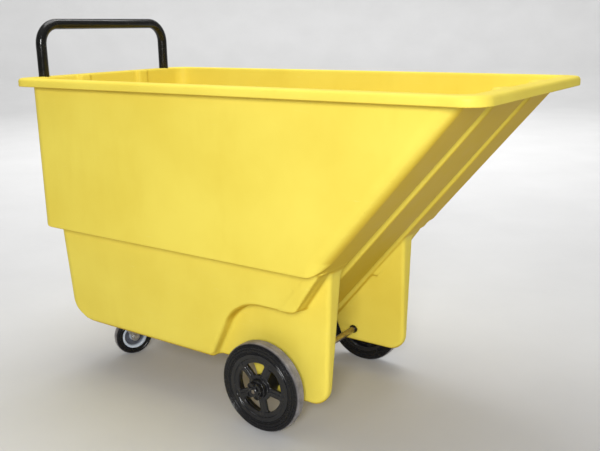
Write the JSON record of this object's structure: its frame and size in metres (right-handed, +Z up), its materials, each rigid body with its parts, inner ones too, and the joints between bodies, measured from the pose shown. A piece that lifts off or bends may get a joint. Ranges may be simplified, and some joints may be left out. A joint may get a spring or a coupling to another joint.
{
  "type": "tub cart",
  "caption": "Moulded tub cart with a sloped tipping front, large front wheels on an axle through moulded legs, rear swivel casters and a bent tube handle.",
  "frame": {"origin": "on the floor, below the middle of the rim", "axes": "+X towards the sloped tipping front, +Y to the left, +Z up"},
  "size_m": [1.478, 0.724, 1.1029],
  "materials": {
    "yellow_plastic": "moulded, satin",
    "black_paint": "gloss black powder coat",
    "black_plastic": "moulded, satin",
    "black_rubber": "solid rubber",
    "grey_plastic": "moulded",
    "nylon": "moulded",
    "plain_steel": "drawn",
    "zinc_plate": "zinc plated"
  },
  "bodies": {
    "cart": {"hopper": "yellow_plastic", "handle_tube": "black_paint", "tube_plugs": "black_plastic", "handle_bolts": "zinc_plate", "handle_washers": "zinc_plate", "handle_nuts": "zinc_plate", "axle": "plain_steel", "leg_sleeve_right": "black_plastic", "leg_sleeve_left": "black_plastic", "axle_spacer_right": "plain_steel", "axle_spacer_left": "plain_steel", "axle_washers": "zinc_plate", "axle_cap_right": "black_plastic", "axle_cap_left": "black_plastic", "caster_plate_right": "zinc_plate", "caster_plate_left": "zinc_plate", "caster_kingpin_right": "plain_steel", "caster_kingpin_left": "plain_steel", "plate_bolts": "zinc_plate", "plate_washers": "zinc_plate", "plate_nuts": "zinc_plate"},
    "wheel_right": {"wheel_hub_right": "black_plastic", "wheel_bush_right": "nylon", "wheel_tyre_right": "black_rubber"},
    "wheel_left": {"wheel_hub_left": "black_plastic", "wheel_bush_left": "nylon", "wheel_tyre_left": "black_rubber"},
    "caster_right": {"caster_fork_right": "zinc_plate", "caster_bolt_right": "zinc_plate", "caster_nut_right": "zinc_plate", "caster_bush_right": "plain_steel", "caster_balls_right": "plain_steel"},
    "caster_left": {"caster_fork_left": "zinc_plate", "caster_bolt_left": "zinc_plate", "caster_nut_left": "zinc_plate", "caster_bush_left": "plain_steel", "caster_balls_left": "plain_steel"},
    "caster_wheel_right": {"caster_core_right": "grey_plastic", "caster_tyre_right": "black_rubber"},
    "caster_wheel_left": {"caster_core_left": "grey_plastic", "caster_tyre_left": "black_rubber"}
  },
  "joints": [
    {"name": "wheel_right_spin", "type": "hinge", "parent": "cart", "child": "wheel_right", "pos_m": [0.117, -0.278, 0.127], "axis": [0, 1, 0], "continuous": true},
    {"name": "wheel_left_spin", "type": "hinge", "parent": "cart", "child": "wheel_left", "pos_m": [0.117, 0.278, 0.127], "axis": [0, 1, 0], "continuous": true},
    {"name": "caster_right_swivel", "type": "hinge", "parent": "cart", "child": "caster_right", "pos_m": [-0.583, -0.145, 0.145], "axis": [0, 0, 1], "continuous": true},
    {"name": "caster_right_roll", "type": "hinge", "parent": "caster_right", "child": "caster_wheel_right", "pos_m": [-0.5661, -0.10875, 0.0635], "axis": [-0.9063, 0.4226, 0], "continuous": true},
    {"name": "caster_left_swivel", "type": "hinge", "parent": "cart", "child": "caster_left", "pos_m": [-0.583, 0.145, 0.145], "axis": [0, 0, 1], "continuous": true},
    {"name": "caster_left_roll", "type": "hinge", "parent": "caster_left", "child": "caster_wheel_left", "pos_m": [-0.5661, 0.18125, 0.0635], "axis": [-0.9063, 0.4226, 0], "continuous": true}
  ]
}
